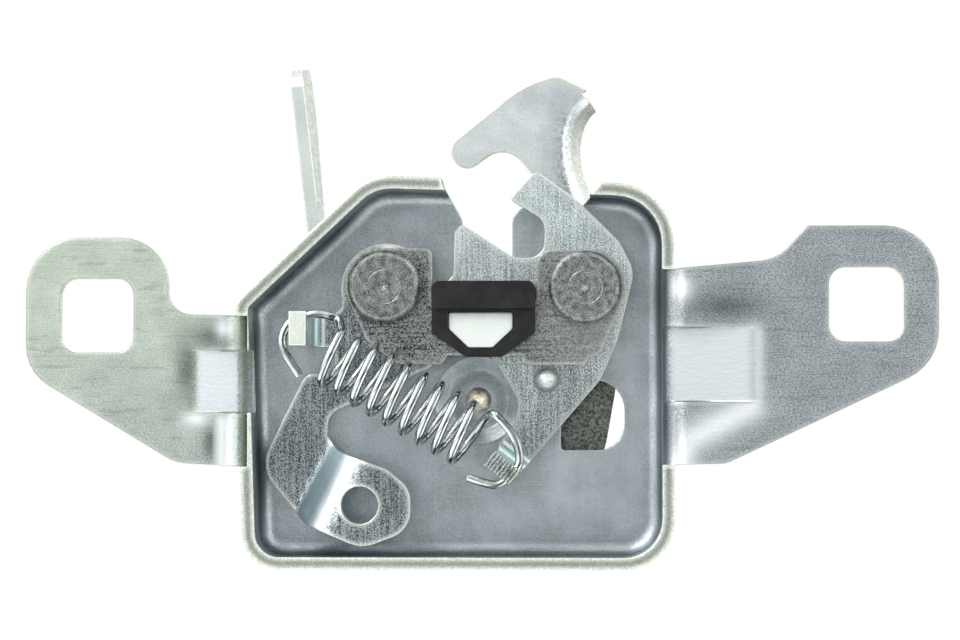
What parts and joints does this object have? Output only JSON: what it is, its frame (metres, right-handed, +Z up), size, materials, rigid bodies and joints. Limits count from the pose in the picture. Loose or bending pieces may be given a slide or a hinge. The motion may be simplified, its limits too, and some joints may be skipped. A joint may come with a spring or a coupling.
{
  "type": "bonnet latch",
  "caption": "Pressed steel bonnet latch with two bolt-on ears, a spring-loaded striker claw, a release pawl with cable eye, and a safety catch with a finger blade.",
  "frame": {"origin": "midway between the two square bolt holes, on the back face of the ears", "axes": "+X to the right as seen from the front, +Z up towards the bonnet, +Y into the panel that the ears are bolted to"},
  "size_m": [0.1352, 0.035, 0.0771],
  "materials": {
    "zinc_bright": "satin zinc plating",
    "zinc_dark": "dull zinc plating",
    "rivet_steel": "turned, zinc plated",
    "spring_steel": "drawn wire, zinc plated",
    "greased_rivet": "yellow passivated, greased",
    "rubber_black": "moulded"
  },
  "bodies": {
    "base": {"base_plate": "zinc_bright", "bridge_plate": "zinc_dark", "buffer": "rubber_black", "pawl_rivet": "rivet_steel", "claw_rivet": "rivet_steel", "catch_rivet": "greased_rivet", "main_spring": "spring_steel", "catch_spring": "spring_steel"},
    "claw": {"claw": "zinc_bright", "claw_stud": "rivet_steel"},
    "pawl": {"pawl": "zinc_dark"},
    "catch": {"safety_catch": "zinc_bright"}
  },
  "joints": [
    {"name": "claw_turn", "type": "hinge", "parent": "base", "child": "claw", "pos_m": [0.0156, 0.00545, 0.0035], "axis": [0, -1, 0], "range_deg": [0, 26], "stiffness_Nm_per_rad": 0.05, "springref_deg": -28.65, "deforming": ["main_spring"]},
    {"name": "pawl_turn", "type": "hinge", "parent": "base", "child": "pawl", "pos_m": [-0.0144, 0.00545, 0.0036], "axis": [0, -1, 0], "range_deg": [0, 10.4], "deforming": ["main_spring"]},
    {"name": "catch_turn", "type": "hinge", "parent": "base", "child": "catch", "pos_m": [-0.0006, 0.0115, -0.0133], "axis": [0, 1, 0], "range_deg": [0, 15], "stiffness_Nm_per_rad": 0.05, "springref_deg": -22.92, "deforming": ["catch_spring"]}
  ],
  "couplings": [
    {"joint": "pawl_turn", "follows": "claw_turn", "ratio": 0.4}
  ]
}
